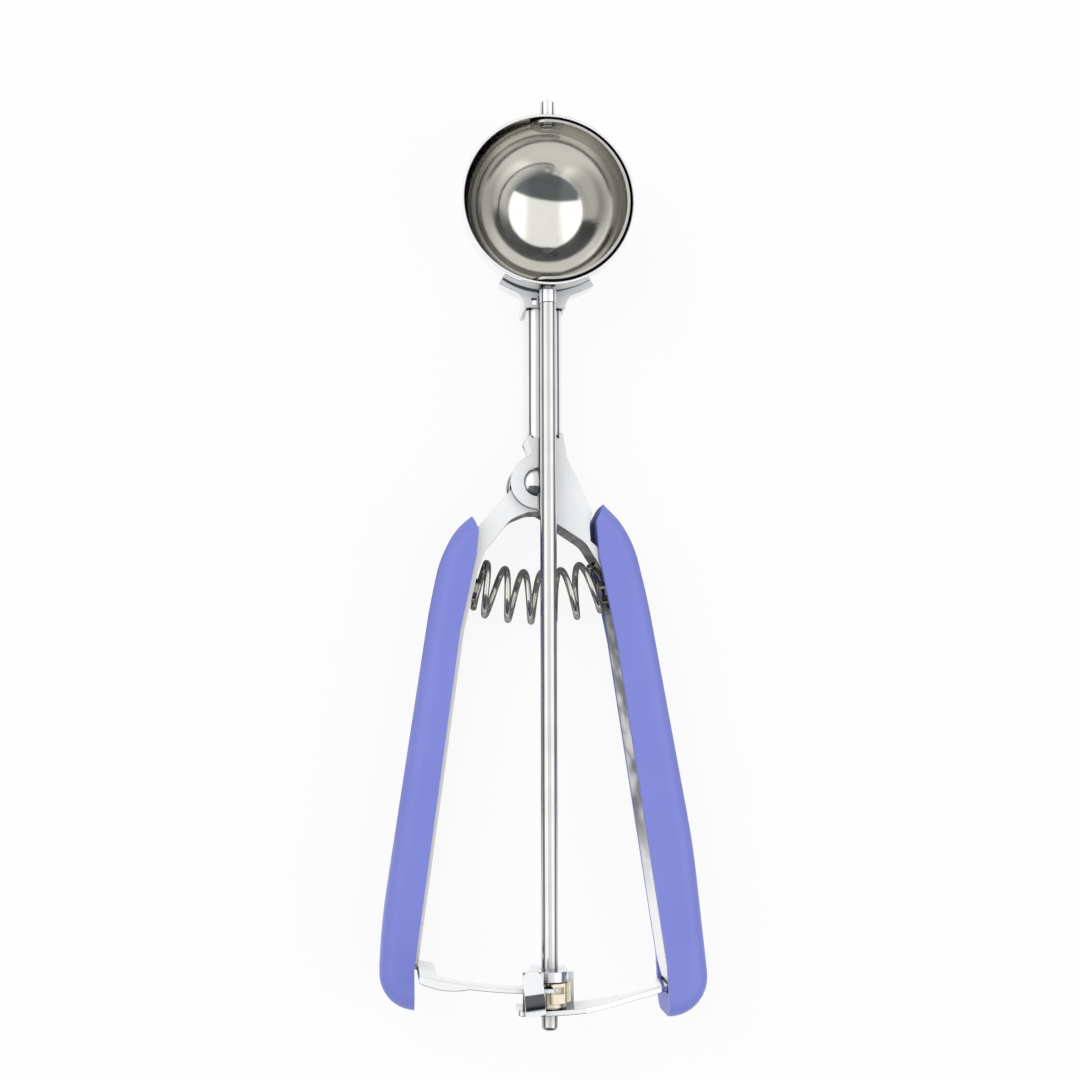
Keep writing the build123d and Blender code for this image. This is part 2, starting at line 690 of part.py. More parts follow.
def seat_place(spot, web):
    """Location on a web's middle line at a spring seat, Z pointing off the web along the spring."""
    low = web[-2]
    high = [point for point in web[1:-1] if point[1] < spot[1]][-1]
    run = Vector(low[0] - high[0], high[1] - low[1])
    share = (spot[1] - high[1]) / (low[1] - high[1])
    x = high[0] + share * (low[0] - high[0])
    side = 1 if x < 0 else -1
    out = Vector(-run.Y, run.X) * side
    return Plane(origin=(x, -spot[1], 0), z_dir=(out.X, out.Y, 0))


def make_seat(spot, web):
    """A round spring seat let into a web."""
    place = seat_place(spot, web)
    start = sheet / 2 - seat_root
    return place * Pos(0, 0, start + (seat_height + seat_root) / 2) * Cylinder(seat_radius, seat_height + seat_root)


def make_left_seat():
    return make_seat(left_seat_spot, left_web)


def make_right_seat():
    return make_seat(right_seat_spot, right_web)


def spring_point(turns):
    """A spot of the bowed spring's wire, counted in turns from the left end of its working part."""
    angle = 2 * math.pi * turns
    share = min(max(turns / spring_coils, 0), 1)
    radius = spring_outer_radius - spring_wire / 2
    across = spring_left[0] + share * (spring_right[0] - spring_left[0])
    down = spring_left[1] + share * (spring_right[1] - spring_left[1])
    lean = spring_lean * (1 - 2 * share)
    sag = 4 * spring_bow * share * (1 - share)
    up = radius * math.cos(angle)
    return (across + up * lean, up - down - sag, radius * math.sin(angle))


def make_spring():
    count = round((dead_left + spring_coils + dead_right) * 10)
    step = (dead_left + spring_coils + dead_right) / count
    path = Spline(*[spring_point(index * step - dead_left) for index in range(count + 1)])
    start = Plane(origin=path @ 0, z_dir=path % 0)
    return sweep(start * Circle(spring_wire / 2), path=path, is_frenet=True)


nodes = {
    "bowl": make_bowl,
    "bowl_saddle": make_saddle,
    "shaft_bush": make_bush,
    "handle_frame": make_handle_frame,
    "pivot_rivet": make_rivet,
    "pivot_washers": make_pivot_washers,
    "right_grip": make_right_grip,
    "guide_bar": make_guide_bar,
    "bar_rivets": make_bar_rivets,
    "spring_seat_right": make_right_seat,
    "return_spring": make_spring,
    "left_lever": make_left_lever,
    "lever_spacer": make_spacer,
    "left_grip": make_left_grip,
    "rack": make_rack,
    "rack_rivets": make_rack_rivets,
    "spring_seat_left": make_left_seat,
    "shaft": make_shaft,
    "pinion": make_pinion,
    "pinion_pin": make_pinion_pin,
    "thrust_washer": make_thrust_washer,
    "end_cap": make_end_cap,
    "scraper": make_scraper,
    "scraper_stud": make_scraper_stud,
}


def main():
    os.makedirs("parts", exist_ok=True)
    solids = {name: build() for name, build in nodes.items()}
    box = Compound(children=[copy.copy(solid) for solid in solids.values()]).bounding_box()
    shift = Pos(-(box.min.X + box.max.X) / 2, -(box.min.Y + box.max.Y) / 2, -box.min.Z)
    for name, solid in solids.items():
        export_step(shift * solid, f"parts/{name}.step")
    print("shift", shift.position, "size", box.size)


main()
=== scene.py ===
"""Dresses the lever ice cream scoop.

Gives its steel, brass and plastic pieces their finishes, winds the return spring, and sets up a studio.
"""

from __future__ import annotations

import logging
import math
from dataclasses import dataclass, field
from enum import Enum
from typing import Any, Sequence

import bpy
import numpy as np
from mathutils import Matrix, Vector

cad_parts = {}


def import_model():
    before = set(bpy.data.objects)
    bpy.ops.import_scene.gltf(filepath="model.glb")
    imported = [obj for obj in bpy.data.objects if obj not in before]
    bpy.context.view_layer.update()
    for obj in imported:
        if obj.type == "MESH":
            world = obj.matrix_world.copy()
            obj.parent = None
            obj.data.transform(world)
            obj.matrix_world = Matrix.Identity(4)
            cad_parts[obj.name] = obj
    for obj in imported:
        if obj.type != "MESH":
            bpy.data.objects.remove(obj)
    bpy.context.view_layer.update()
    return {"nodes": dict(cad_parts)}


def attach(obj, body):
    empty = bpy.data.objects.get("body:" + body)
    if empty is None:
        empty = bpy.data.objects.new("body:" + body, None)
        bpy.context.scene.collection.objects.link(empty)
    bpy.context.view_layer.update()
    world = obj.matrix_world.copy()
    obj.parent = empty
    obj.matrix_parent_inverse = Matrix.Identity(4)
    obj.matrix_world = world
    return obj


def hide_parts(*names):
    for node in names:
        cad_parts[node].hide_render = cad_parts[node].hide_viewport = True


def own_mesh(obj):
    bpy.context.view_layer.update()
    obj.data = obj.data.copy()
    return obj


LOG = logging.getLogger("scoop")
MM = 0.001
SHIFT = np.array([0.532984, 18.225, 10.7])
"""Millimetres from the tool's working frame (pivot, shaft, mid-depth) to the shared frame."""
BOWL_CENTRE = (0.0, 69.3, 10.8)
"""Middle of the bowl's sphere, in working-frame millimetres."""
NOISE_ROUGHNESS = 0.55
"""How much finer octaves count in every noise."""
BEVEL_SAMPLES = 6
OCCLUSION_SAMPLES = 8
WHITE = (1.0, 1.0, 1.0)


def place(points: Sequence[float] | np.ndarray) -> np.ndarray:
    """Turns working-frame millimetres into shared-frame metres.

    Args:
        points: one point or an array of points, in millimetres.

    Returns:
        The same points in metres, in the shared frame.
    """
    return (np.asarray(points, float) + SHIFT) * MM


class Sock:
    """A shader value that can be used in ordinary arithmetic."""

    def __init__(self, tree: bpy.types.NodeTree, socket: Any) -> None:
        """Wraps a socket of a node tree."""
        self.tree = tree
        self.socket = socket

    def _math(self, operation: str, *operands: Any) -> "Sock":
        """Adds one Math node.

        Args:
            operation: the Math node's operation.
            operands: sockets or numbers, in order.

        Returns:
            The node's result.
        """
        node = self.tree.nodes.new("ShaderNodeMath")
        node.operation = operation
        for place_in, operand in zip(node.inputs, operands):
            if isinstance(operand, Sock):
                self.tree.links.new(operand.socket, place_in)
            else:
                place_in.default_value = operand
        return Sock(self.tree, node.outputs[0])

    def __add__(self, other: Any) -> "Sock":
        """Sum."""
        return self._math("ADD", self, other)

    __radd__ = __add__

    def __sub__(self, other: Any) -> "Sock":
        """Difference."""
        return self._math("SUBTRACT", self, other)

    def __rsub__(self, other: Any) -> "Sock":
        """Reflected difference."""
        return self._math("SUBTRACT", other, self)

    def __mul__(self, other: Any) -> "Sock":
        """Product."""
        return self._math("MULTIPLY", self, other)

    __rmul__ = __mul__

    def __pow__(self, other: Any) -> "Sock":
        """Power."""
        return self._math("POWER", self, other)

    def __abs__(self) -> "Sock":
        """Size without sign."""
        return self._math("ABSOLUTE", self)

    def sqrt(self) -> "Sock":
        """Square root."""
        return self._math("SQRT", self)

    def step(self, low: float, high: float) -> "Sock":
        """A smooth rise from 0 at one value to 1 at another."""
        node = self.tree.nodes.new("ShaderNodeMapRange")
        node.interpolation_type = "SMOOTHSTEP"
        self.tree.links.new(self.socket, node.inputs["Value"])
        node.inputs["From Min"].default_value = low
        node.inputs["From Max"].default_value = high
        return Sock(self.tree, node.outputs["Result"])

    def clamp(self) -> "Sock":
        """The value held between 0 and 1."""
        return self._math("MINIMUM", self._math("MAXIMUM", self, 0.0), 1.0)


class Weave:
    """Builds the node tree of one material, or of the surroundings."""

    def __init__(self, name: str, surroundings: bool = False) -> None:
        """Starts a material with one Principled shader, or a world with one Background.

        Args:
            name: the name of the material or world.
            surroundings: whether this is a world.
        """
        self.material = (bpy.data.worlds if surroundings else bpy.data.materials).new(name)
        self.material.use_nodes = True
        self.tree = self.material.node_tree
        self.shader = self.tree.nodes["Background" if surroundings else "Principled BSDF"]
        self.output = self.tree.nodes["World Output" if surroundings else "Material Output"]

    def node(self, kind: str, settings: dict[str, Any] | None = None, **inputs: Any) -> bpy.types.Node:
        """Adds a node of any type.

        Args:
            kind: the node's type, without the ShaderNode prefix.
            settings: attributes that are set first.
            inputs: values or links for its sockets, spaces written as underscores.

        Returns:
            The new node.
        """
        made = self.tree.nodes.new("ShaderNode" + kind)
        for key, value in (settings or {}).items():
            setattr(made, key, value)
        for key, value in inputs.items():
            socket = made.inputs[int(key[1:])] if key[1:].isdigit() else made.inputs[key.replace("_", " ")]
            self.feed(socket, value)
        return made

    def feed(self, socket: Any, value: Any) -> None:
        """Links or sets one input socket."""
        if isinstance(value, Sock):
            self.tree.links.new(value.socket, socket)
        elif isinstance(value, bpy.types.NodeSocket):
            self.tree.links.new(value, socket)
        else:
            socket.default_value = value

    def value(self, made: bpy.types.Node, name: str | int = 0) -> Sock:
        """One output of a node as arithmetic."""
        return Sock(self.tree, made.outputs[name])

    def position(self, centre: Sequence[float] = (0, 0, 0)) -> bpy.types.NodeSocket:
        """Object coordinates about a centre in metres."""
        coords = self.node("TexCoord").outputs["Object"]
        return self.node("VectorMath", {"operation": "SUBTRACT"}, i0=coords, i1=tuple(centre)).outputs[0]

    def split(self, vector: bpy.types.NodeSocket) -> tuple[Sock, Sock, Sock]:
        """The three parts of a vector."""
        made = self.node("SeparateXYZ", None, Vector=vector)
        return tuple(Sock(self.tree, made.outputs[axis]) for axis in range(3))

    def join(self, x: Any, y: Any, z: Any) -> bpy.types.NodeSocket:
        """A vector of three values."""
        return self.node("CombineXYZ", None, X=x, Y=y, Z=z).outputs[0]

    def noise(self, vector: bpy.types.NodeSocket, scale: float, detail: float = 4.0) -> Sock:
        """Noise between 0 and 1 at a number of features per metre."""
        made = self.node("TexNoise", None, Vector=vector, Scale=scale, Detail=detail)
        made.inputs["Roughness"].default_value = NOISE_ROUGHNESS
        return Sock(self.tree, made.outputs[0])

    def blend(self, factor: Any, low: Any, high: Any) -> bpy.types.NodeSocket:
        """Mixes two colours by a factor.

        Args:
            factor: 0 for the first colour, 1 for the second.
            low: the first colour, three numbers or a socket.
            high: the second colour, three numbers or a socket.

        Returns:
            The mixed colour.
        """
        made = self.node("Mix", {"data_type": "RGBA"})
        self.feed(made.inputs[0], factor)
        for socket, colour in ((made.inputs[6], low), (made.inputs[7], high)):
            self.feed(socket, (*colour, 1.0) if isinstance(colour, tuple) else colour)
        return made.outputs[2]

    def scale(self, colour: Any, level: Any) -> bpy.types.NodeSocket:
        """A colour made brighter or darker by a level."""
        made = self.node("VectorMath", {"operation": "SCALE"}, i0=colour)
        self.feed(made.inputs["Scale"], level)
        return made.outputs[0]

    def bump(self, height: Sock, strength: float, distance: float, edge: float = 0.0) -> bpy.types.NodeSocket:
        """A normal from a height.

        Args:
            height: the relief, between 0 and 1.
            strength: how much of the relief shows.
            distance: the relief's depth in metres.
            edge: radius in metres that sharp edges seem worn to, 0 for none.

        Returns:
            The normal to feed.
        """
        made = self.node("Bump", None, Height=height, Strength=strength, Distance=distance)
        if edge > 0:
            worn = self.node("Bevel", {"samples": BEVEL_SAMPLES}, Radius=edge)
            self.feed(made.inputs["Normal"], worn.outputs[0])
        return made.outputs[0]

    def dress(self, **inputs: Any) -> bpy.types.Material:
        """Feeds the Principled shader and hands back the material."""
        for key, value in inputs.items():
            self.feed(self.shader.inputs[key.replace("_", " ")], value)
        return self.material


@dataclass(frozen=True)
class BrightChrome:
    """Chromium plating on pressed sheet: a mirror with faint waves and haze, and painted shade that darkens
    its recesses.

    Attributes:
        tint: the plating's colour where it is clean.
        shade: its colour where it is hazy.
        polish: its least roughness.
        haze: how much roughness the haze adds.
        wave: depth of the waves, in metres.
        edge: radius that sharp edges seem worn to, in metres.
        reach: how far a neighbour casts the painted shade, in metres.
        depth: how strongly the painted shade darkens, 0 for not at all.
    """

    name: str = "bright_chrome"
    tint: tuple[float, float, float] = (0.93, 0.935, 0.95)
    shade: tuple[float, float, float] = (0.86, 0.87, 0.9)
    polish: float = 0.03
    haze: float = 0.08
    wave: float = 0.00004
    edge: float = 0.0003
    reach: float = 0.008
    slow_scale: float = 140.0
    fine_scale: float = 2600.0
    relief: float = 0.35
    depth: float = 0.85

    def build(self) -> bpy.types.Material:
        """Makes the material."""
        weave = Weave(self.name)
        spot = weave.position()
        slow = weave.noise(spot, self.slow_scale, 2.0)
        fine = weave.noise(spot, self.fine_scale, 6.0)
        rough = self.polish + self.haze * slow * fine
        plating = weave.blend((slow * 1.6 - 0.3).clamp(), self.shade, self.tint)
        # Painted shade: ambient occlusion darkens the plating's colour in recesses and between parts.
        painted_shade = weave.node("AmbientOcclusion", {"samples": OCCLUSION_SAMPLES}, Distance=self.reach)
        colour = weave.scale(plating, weave.value(painted_shade, "AO") ** self.depth)
        normal = weave.bump(slow + fine * 0.05, self.relief, self.wave, self.edge)
        return weave.dress(Base_Color=colour, Metallic=1.0, Roughness=rough, Normal=normal)


@dataclass(frozen=True)
class SpunSteel:
    """Stainless steel brushed in rings inside a bowl, with its outside and rim polished bright and painted
    shade on its left and right inner walls.

    Attributes:
        centre: middle of the bowl, in metres.
        light: colour of the inside's bright rings.
        dark: colour of the inside's dull rings.
        sides: distances to the left and right between which painted shade darkens the inside, in metres.
        bright: colour of the outside and the rim.
        smooth: least roughness.
        rings: brushed rings per metre.
        wall: distances from the centre between which the inside gives way to the outside, in metres.
        side_shade: how much the painted shade darkens the left and right walls.
        side_lean: how much sooner the painted shade darkens the left wall than the right one.
        outside_polish: share of the roughness that the outside lacks.
    """

    name: str = "spun_steel"
    centre: tuple[float, float, float] = (0.0, 0.0, 0.0)
    light: tuple[float, float, float] = (0.85, 0.842, 0.8)
    dark: tuple[float, float, float] = (0.66, 0.65, 0.615)
    sides: tuple[float, float] = (0.0105, 0.0195)
    bright: tuple[float, float, float] = (0.93, 0.935, 0.95)
    smooth: float = 0.04
    rings: float = 1500.0
    wall: tuple[float, float] = (0.02102, 0.02112)
    side_shade: float = 0.52
    side_lean: float = 0.12
    outside_polish: float = 0.6
    cloud_scale: float = 70.0
    relief: float = 0.3
    depth: float = 0.00002
    edge: float = 0.00025

    def build(self) -> bpy.types.Material:
        """Makes the material."""
        weave = Weave(self.name)
        x, y, z = weave.split(weave.position(self.centre))
        out = (x * x + y * y).sqrt()
        ring = weave.noise(weave.join(out, z, 0.0), self.rings, 5.0)
        cloud = weave.noise(weave.position(self.centre), self.cloud_scale, 3.0)
        mark = weave.noise(weave.join(out, z, x * 0.03), self.rings * 2.2, 3.0)
        low = (abs(z) - z) * 0.5
        outside = (x * x + y * y + low * low).sqrt().step(*self.wall)
        inside = weave.blend((ring * 0.7 + cloud * 0.5 - 0.1).clamp(), self.dark, self.light)
        # Painted shade: the inside's colour darkens towards its left and right walls.
        painted_wall_shade = (abs(x) - x * self.side_lean).step(*self.sides)
        colour = weave.blend(outside, weave.scale(inside, 1 - painted_wall_shade * self.side_shade), self.bright)
        rough = (self.smooth + 0.06 * ring + 0.04 * cloud) * (1 - outside * self.outside_polish)
        normal = weave.bump(ring * 0.7 + mark * 0.3, self.relief, self.depth, self.edge)
        return weave.dress(Base_Color=colour, Metallic=1.0, Roughness=rough, Normal=normal)


@dataclass(frozen=True)
class DrawnSteel:
    """Drawn or turned steel: fine lines along one axis and a soft sheen."""

    name: str = "drawn_steel"
    light: tuple[float, float, float] = (0.62, 0.61, 0.6)
    dark: tuple[float, float, float] = (0.45, 0.44, 0.43)
    smooth: float = 0.16
    stretch: tuple[float, float, float] = (1.0, 0.05, 1.0)
    lines: float = 1800.0
    cloud_scale: float = 90.0
    relief: float = 0.4
    depth: float = 0.00002
    edge: float = 0.0002

    def build(self) -> bpy.types.Material:
        """Makes the material."""
        weave = Weave(self.name)
        spot = weave.node("VectorMath", {"operation": "MULTIPLY"}, i0=weave.position(), i1=self.stretch)
        line = weave.noise(spot.outputs[0], self.lines, 5.0)
        cloud = weave.noise(weave.position(), self.cloud_scale, 2.0)
        colour = weave.blend((line * 0.8 + cloud * 0.4 - 0.1).clamp(), self.dark, self.light)
        rough = self.smooth + 0.12 * line
        normal = weave.bump(line, self.relief, self.depth, self.edge)
        return weave.dress(Base_Color=colour, Metallic=1.0, Roughness=rough, Normal=normal)


@dataclass(frozen=True)
class SoftPlastic:
    """Smooth, slightly soft plastic with a very fine moulded grain."""

    name: str = "lavender_plastic"
    colour: tuple[float, float, float] = (0.23, 0.26, 0.72)
    deep: tuple[float, float, float] = (0.2, 0.225, 0.66)
    smooth: float = 0.4
    gloss: float = 0.45
    cloud_scale: float = 35.0
    grain_scale: float = 4200.0
    relief: float = 0.25
    depth: float = 0.00003

    def build(self) -> bpy.types.Material:
        """Makes the material."""
        weave = Weave(self.name)
        spot = weave.position()
        cloud = weave.noise(spot, self.cloud_scale, 2.0)
        grain = weave.noise(spot, self.grain_scale, 3.0)
        colour = weave.blend((cloud * 1.4 - 0.2).clamp(), self.deep, self.colour)
        rough = self.smooth + 0.1 * grain
        normal = weave.bump(grain, self.relief, self.depth)
        weave.shader.inputs["Specular IOR Level"].default_value = self.gloss
        return weave.dress(Base_Color=colour, Roughness=rough, Normal=normal)


@dataclass(frozen=True)
class TurnedBrass:
    """Machined brass with an uneven, slightly dulled surface."""

    name: str = "turned_brass"
    light: tuple[float, float, float] = (0.82, 0.77, 0.64)
    dark: tuple[float, float, float] = (0.6, 0.53, 0.4)
    smooth: float = 0.22
    line_scale: float = 900.0
    relief: float = 0.3
    depth: float = 0.00003
    edge: float = 0.0002

    def build(self) -> bpy.types.Material:
        """Makes the material."""
        weave = Weave(self.name)
        line = weave.noise(weave.position(), self.line_scale, 4.0)
        colour = weave.blend((line * 1.5 - 0.3).clamp(), self.dark, self.light)
        normal = weave.bump(line, self.relief, self.depth, self.edge)
        rough = self.smooth + 0.14 * line
        return weave.dress(Base_Color=colour, Metallic=1.0, Roughness=rough, Normal=normal)


class Finish(Enum):
    """The tool's finishes, by what they cover."""

    CHROME = "chrome"
    BOWL = "bowl"
    SCRAPER = "scraper"
    ROD = "rod"
    WIRE = "wire"
    BRASS = "brass"
    GRIP = "grip"


@dataclass
class Finishes:
    """Every material of the tool, each built once."""

    made: dict[Finish, bpy.types.Material] = field(default_factory=dict)

    def build(self, bowl_centre: Sequence[float]) -> "Finishes":
        """Builds all materials.

        Args:
            bowl_centre: the middle of the bowl, in metres.

        Returns:
            Itself, filled.
        """
        self.made = {
            Finish.CHROME: BrightChrome().build(),
            Finish.BOWL: SpunSteel(centre=tuple(bowl_centre)).build(),
            Finish.SCRAPER: DrawnSteel(name="scraper_steel", stretch=(0.2, 0.2, 1.0), smooth=0.22).build(),
            Finish.ROD: BrightChrome(
                name="rod_steel", tint=(0.7, 0.7, 0.68), shade=(0.62, 0.62, 0.61), polish=0.07, haze=0.06
            ).build(),
            Finish.WIRE: DrawnSteel(
                name="spring_wire",
                light=(0.8, 0.79, 0.77),
                dark=(0.52, 0.48, 0.42),
                stretch=(1, 1, 1),
                smooth=0.07,
            ).build(),
            Finish.BRASS: TurnedBrass().build(),
            Finish.GRIP: SoftPlastic().build(),
        }
        return self

    def put(self, thing: bpy.types.Object, finish: Finish) -> None:
        """Gives an object one finish all over."""
        thing.data.materials.clear()
        thing.data.materials.append(self.made[finish])
        for face in thing.data.polygons:
            face.material_index = 0


def grid_mesh(name: str, points: np.ndarray, wrap: bool) -> bpy.types.Object:
    """Makes a smooth mesh from a grid of points.

    Args:
        name: the object's name.
        points: an array of shape (u, v, 3), in metres.
        wrap: whether the last column joins the first.

    Returns:
        The new object, linked to the scene.
    """
    rows, columns = points.shape[:2]
    index = np.arange(rows * columns).reshape(rows, columns)
    if wrap:
        index = np.hstack([index, index[:, :1]])
    corners = [index[:-1, :-1], index[1:, :-1], index[1:, 1:], index[:-1, 1:]]
    quads = np.stack(corners, axis=-1).reshape(-1, 4)
    mesh = bpy.data.meshes.new(name)
    mesh.from_pydata(points.reshape(-1, 3).tolist(), [], quads.tolist())
    mesh.polygons.foreach_set("use_smooth", np.ones(len(quads), bool))
    mesh.update()
    thing = bpy.data.objects.new(name, mesh)
    bpy.context.scene.collection.objects.link(thing)
    return thing


@dataclass
class ReturnSpring:
    """The compression spring between the handles, bowed a little towards the feet."""

    left: tuple[float, float] = (-16.1, -25.7)
    right: tuple[float, float] = (13.3, -24.9)
    bow: float = 2.75
    lean: float = 0.27
    outer_radius: float = 6.9
    wire: float = 1.6
    coils: float = 5.65
    dead_left: float = 0.4
    dead_right: float = 0.25
    keep: float = 0.87
    path_steps: int = 420
    ring_steps: int = 24
    cap: tuple[float, ...] = (0.0, 0.5, 0.85)

    def centreline(self, turns: np.ndarray) -> np.ndarray:
        """The wire's middle: a helix about a shallow parabola, its end turns flat on the two webs.

        Args:
            turns: positions along the wire, in turns from the left end of the working part.

        Returns:
            Points in working-frame millimetres.
        """
        angle = 2 * math.pi * turns
        share = np.clip(turns / self.coils, 0, 1)
        radius = self.outer_radius - self.wire / 2
        sag = 4 * self.bow * share * (1 - share)
        up = radius * np.cos(angle)
        x = self.left[0] + share * (self.right[0] - self.left[0]) + up * self.lean * (1 - 2 * share)
        y = self.left[1] + share * (self.right[1] - self.left[1]) - sag + up
        return np.stack([x, y, radius * np.sin(angle)], axis=-1)

    def build(self, finishes: Finishes) -> bpy.types.Object:
        """Carries a circle along the wire's middle and rounds off both cut ends."""
        along = np.linspace(-self.dead_left, self.coils + self.dead_right, self.path_steps)
        path = self.centreline(along)
        tangent = np.gradient(path, axis=0)
        tangent /= np.linalg.norm(tangent, axis=1, keepdims=True)
        turn = 2 * math.pi * along
        inward = np.stack([turn * 0, np.cos(turn), np.sin(turn)], axis=-1)
        side = np.cross(tangent, inward)
        side /= np.linalg.norm(side, axis=1, keepdims=True)
        other = np.cross(tangent, side)
        angle = np.linspace(0, 2 * math.pi, self.ring_steps, endpoint=False)
        ring = np.cos(angle)[None, :, None] * side[:, None] + np.sin(angle)[None, :, None] * other[:, None]
        tube = path[:, None] + ring * (self.wire / 2)
        cap = np.array(self.cap) * (self.wire / 2)
        first = path[0] + ring[0][None] * cap[:, None, None]
        last = path[-1] + ring[-1][None] * cap[::-1][:, None, None]
        points = np.concatenate([first, tube, last])
        thing = grid_mesh("bowed_spring", place(points), True)
        finishes.put(thing, Finish.WIRE)
        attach(thing, "frame")
        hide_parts("return_spring")
        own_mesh(thing)
        return thing


@dataclass
class Fixed:
    """CAD nodes that keep their shape, and the finish of each."""

    finish_of: dict[str, Finish] = field(
        default_factory=lambda: {
            "bowl": Finish.BOWL,
            "bowl_saddle": Finish.CHROME,
            "shaft_bush": Finish.CHROME,
            "handle_frame": Finish.CHROME,
            "pivot_rivet": Finish.CHROME,
            "pivot_washers": Finish.CHROME,
            "right_grip": Finish.GRIP,
            "guide_bar": Finish.CHROME,
            "bar_rivets": Finish.CHROME,
            "spring_seat_right": Finish.ROD,
            "return_spring": Finish.WIRE,
            "left_lever": Finish.CHROME,
            "lever_spacer": Finish.ROD,
            "left_grip": Finish.GRIP,
            "rack": Finish.CHROME,
            "rack_rivets": Finish.CHROME,
            "spring_seat_left": Finish.ROD,
            "shaft": Finish.ROD,
            "pinion": Finish.BRASS,
            "pinion_pin": Finish.SCRAPER,
            "thrust_washer": Finish.ROD,
            "end_cap": Finish.ROD,
            "scraper": Finish.SCRAPER,
            "scraper_stud": Finish.CHROME,
        }
    )

    def build(self, nodes: dict[str, bpy.types.Object], finishes: Finishes) -> None:
        """Dresses every node.

        Args:
            nodes: the CAD nodes by name.
            finishes: the tool's materials.
        """
        for name, finish in self.finish_of.items():
            finishes.put(nodes[name], finish)
            LOG.info("dressed %s", name)


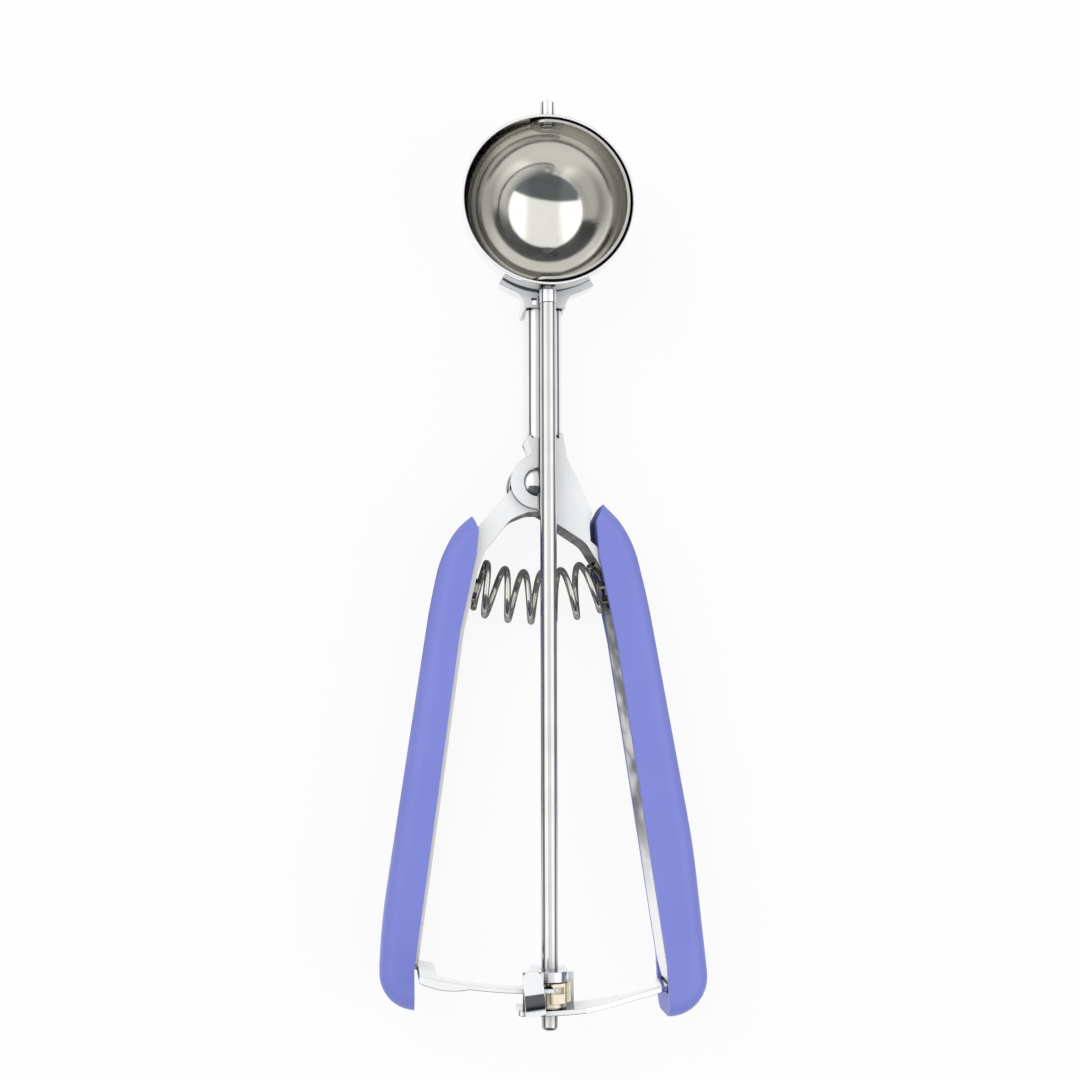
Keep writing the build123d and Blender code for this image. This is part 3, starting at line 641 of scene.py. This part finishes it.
@dataclass
class Studio:
    """Camera, floor, soft lamps and the room that the chrome mirrors.

    Attributes:
        target: where the camera looks, in working-frame millimetres.
        turn: camera's swing to the left, in degrees.
        tilt: camera's swing towards the feet, in degrees.
        distance: camera to target, in millimetres.
        lens: focal length in millimetres.
        roll: camera's roll in degrees.
        overhead: brightness that metal sees above.
        panel: brightness that the side panels add.
        fill: brightness that lights the plastic.
        fill_fall: fill's factor at the horizon, and how much it falls towards the top.
        panel_zone, feet_zone, feet_sides, rim_zone: direction parts between which each zone fades.
        feet_lean: how far the dark zone at the feet leans to one side.
        feet_dark, rim_dark: how much those zones darken.
        cold: tint of the dark zones.
        floor_half: half the floor's side, in metres.
        floor_drop: floor below the bowl's lowest point, in metres.
        paper_seen, paper_mirrored: share of the floor's look that glows, to the camera and to metal.
        strip: white strip's half width, its start and its widening, in metres.
        strip_edge, strip_dark: fading width beside the strip, and how much the painted light falloff darkens
            the floor there.
        streaks: streaks of painted shadow per metre beside the handles.
        streak_zone: noise values between which a streak fades.
        streak_dark, webs_dark: painted shadow from a streak, and everywhere beside the handles.
        webs_start, webs_end: distances along the tool between which that painted shadow fades in and out, in
            metres.
        hinge_start: distances between which the painted shadow at the hinge fades in, in metres.
        hinge_dark: how much darker that painted shadow is.
        key, side_key: power of the two lamps, in watts.
        key_spot, side_spot: their places, in metres.
        key_size, side_size: their sides, in metres.
    """

    target: tuple[float, float, float] = (-1.993, -14.723, 10.0)
    turn: float = 5.8
    tilt: float = 5.6
    distance: float = 400.0
    lens: float = 54.63
    roll: float = 0.13
    overhead: float = 1.0
    panel: float = 0.45
    fill: float = 0.62
    fill_fall: tuple[float, float] = (1.5, 0.9)
    panel_zone: tuple[float, float] = (0.3, 0.5)
    feet_zone: tuple[float, float] = (0.34, 0.4)
    feet_sides: tuple[float, float] = (0.72, 0.84)
    feet_lean: float = 0.12
    feet_dark: float = 0.86
    rim_zone: tuple[float, float] = (0.1, 0.55)
    rim_dark: float = 0.9
    cold: tuple[float, float, float] = (0.86, 0.93, 1.0)
    floor_half: float = 2.0
    floor_drop: float = 0.0006
    paper_seen: float = 0.9
    paper_mirrored: float = 0.85
    strip: tuple[float, float, float] = (0.055, 0.1, 0.2)
    strip_edge: float = 0.05
    strip_dark: float = 0.8
    streaks: float = 110.0
    streak_zone: tuple[float, float] = (0.35, 0.65)
    streak_dark: float = 0.5
    webs_dark: float = 0.35
    webs_start: tuple[float, float] = (-0.09, -0.06)
    webs_end: tuple[float, float] = (0.012, 0.03)
    hinge_start: tuple[float, float] = (-0.03, -0.01)
    hinge_dark: float = 0.7
    key: float = 4.4
    key_spot: tuple[float, float, float] = (-0.5, 0.35, 0.9)
    key_size: float = 0.7
    side_key: float = 2.6
    side_spot: tuple[float, float, float] = (0.6, -0.3, 0.8)
    side_size: float = 0.8

    def camera(self) -> None:
        """Sets the camera a little to the left of the tool and towards its feet."""
        a, t = math.radians(self.turn), math.radians(self.tilt)
        back = Vector((-math.sin(a) * math.cos(t), -math.sin(t), math.cos(a) * math.cos(t)))
        right = Vector((math.cos(a), 0, math.sin(a)))
        up = back.cross(right)
        r = math.radians(self.roll)
        right, up = right * math.cos(r) - up * math.sin(r), up * math.cos(r) + right * math.sin(r)
        data = bpy.data.cameras.new("camera")
        data.sensor_width = 36.0
        data.lens = self.lens
        data.clip_start = 0.01
        thing = bpy.data.objects.new("camera", data)
        bpy.context.scene.collection.objects.link(thing)
        turned = Matrix((right, up, back)).transposed().to_4x4()
        spot = Vector(place(self.target)) + back * self.distance * MM
        thing.matrix_world = Matrix.Translation(spot) @ turned
        bpy.context.scene.camera = thing

    def lamp(self, name: str, spot: Sequence[float], size: float, power: float) -> None:
        """Hangs one square area lamp aimed at the tool.

        Args:
            name: the lamp's name.
            spot: its place in metres.
            size: its side in metres.
            power: its power in watts.
        """
        data = bpy.data.lights.new(name, "AREA")
        data.size = size
        data.energy = power
        thing = bpy.data.objects.new(name, data)
        bpy.context.scene.collection.objects.link(thing)
        thing.visible_glossy = False
        thing.location = spot
        thing.rotation_euler = (-Vector(spot)).to_track_quat("-Z", "Y").to_euler()

    def floor(self) -> None:
        """Lays a white floor that keeps a faint shadow.

        Metal sees it white near the tool, with painted shadow streaked dark beside the handles and at the
        hinge, and painted light falloff that leaves it dim far off.
        """
        u, v = np.meshgrid(*[np.linspace(-self.floor_half, self.floor_half, 3)] * 2, indexing="ij")
        thing = grid_mesh("floor", np.stack([u, v, u * 0 - self.floor_drop], axis=-1), False)
        weave = Weave("floor_paper")
        weave.shader.inputs["Specular IOR Level"].default_value = 0.0
        weave.dress(Base_Color=(0.9, 0.9, 0.9, 1.0), Roughness=1.0)
        rays = weave.node("LightPath")
        seen = weave.value(rays, "Is Camera Ray")
        mirrored = (weave.value(rays, "Is Glossy Ray") + weave.value(rays, "Is Transmission Ray")).clamp()
        x, y, _ = weave.split(weave.position())
        near, start, widen = self.strip
        off = abs(x) - (near + (y + start) * widen)
        # Painted shadow: metal sees the floor streaked dark beside the handles and darker at the hinge.
        streak = weave.noise(weave.join(x * 3.0, y, 0.0), self.streaks, 2.0)
        webs = y.step(*self.webs_start) * (1 - y.step(*self.webs_end))
        hinge = y.step(*self.hinge_start) - y.step(*self.webs_end)
        # Painted light falloff: metal sees the floor dim beyond a white strip along the tool.
        beside = 1 - off.step(0.0, self.strip_edge) * self.strip_dark
        paper = beside * (1 - webs * (streak.step(*self.streak_zone) * self.streak_dark + self.webs_dark))
        paper = paper * (1 - hinge * self.hinge_dark)
        level = seen + (1 - seen) * paper
        glow = weave.node("Emission", None, Color=weave.scale(WHITE, level), Strength=1.0)
        mixed = weave.node("MixShader")
        weave.feed(mixed.inputs[0], seen * self.paper_seen + mirrored * self.paper_mirrored)
        weave.feed(mixed.inputs[1], weave.shader.outputs[0])
        weave.feed(mixed.inputs[2], glow.outputs[0])
        weave.feed(weave.output.inputs[0], mixed.outputs[0])
        thing.data.materials.append(weave.material)

    def surroundings(self) -> None:
        """Fills the room.

        It is white above, brighter at both sides, and dim towards the feet and the horizon.
        """
        weave = Weave("studio", surroundings=True)
        bpy.context.scene.world = weave.material
        rays = weave.node("LightPath")
        seen = weave.value(rays, "Is Camera Ray")
        mirrored = weave.value(rays, "Is Glossy Ray")
        x, y, z = weave.split(weave.node("TexCoord").outputs["Generated"])
        side = abs(x)
        panels = side.step(*self.panel_zone) * self.panel
        feet = (-1 * y - x * self.feet_lean).step(*self.feet_zone) * (1 - side.step(*self.feet_sides))
        rim = 1 - z.step(*self.rim_zone)
        level = (self.overhead + panels) * (1 - feet * self.feet_dark) * (1 - rim * self.rim_dark)
        tint = weave.blend((feet + rim).clamp(), (1.0, 1.0, 0.99), self.cold)
        reflected = weave.scale(tint, level)
        base, fall = self.fill_fall
        soft = weave.scale(WHITE, seen + (1 - seen) * self.fill * (base - z.clamp() * fall))
        weave.feed(weave.shader.inputs[0], weave.blend(mirrored, soft, reflected))

    def build(self) -> None:
        """Builds the whole studio."""
        self.camera()
        self.surroundings()
        self.floor()
        self.lamp("key", self.key_spot, self.key_size, self.key)
        self.lamp("fill", self.side_spot, self.side_size, self.side_key)
        bpy.context.scene.view_settings.view_transform = "Standard"


def main() -> None:
    """Builds every sub-assembly in order and reports it."""
    logging.basicConfig(level=logging.INFO, format="%(name)s: %(message)s")
    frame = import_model()
    Studio().build()
    LOG.info("studio ready")
    finishes = Finishes().build(place(BOWL_CENTRE))
    Fixed().build(frame["nodes"], finishes)
    ReturnSpring().build(finishes)
    LOG.info("spring wound")


if __name__ == "__main__":
    main()
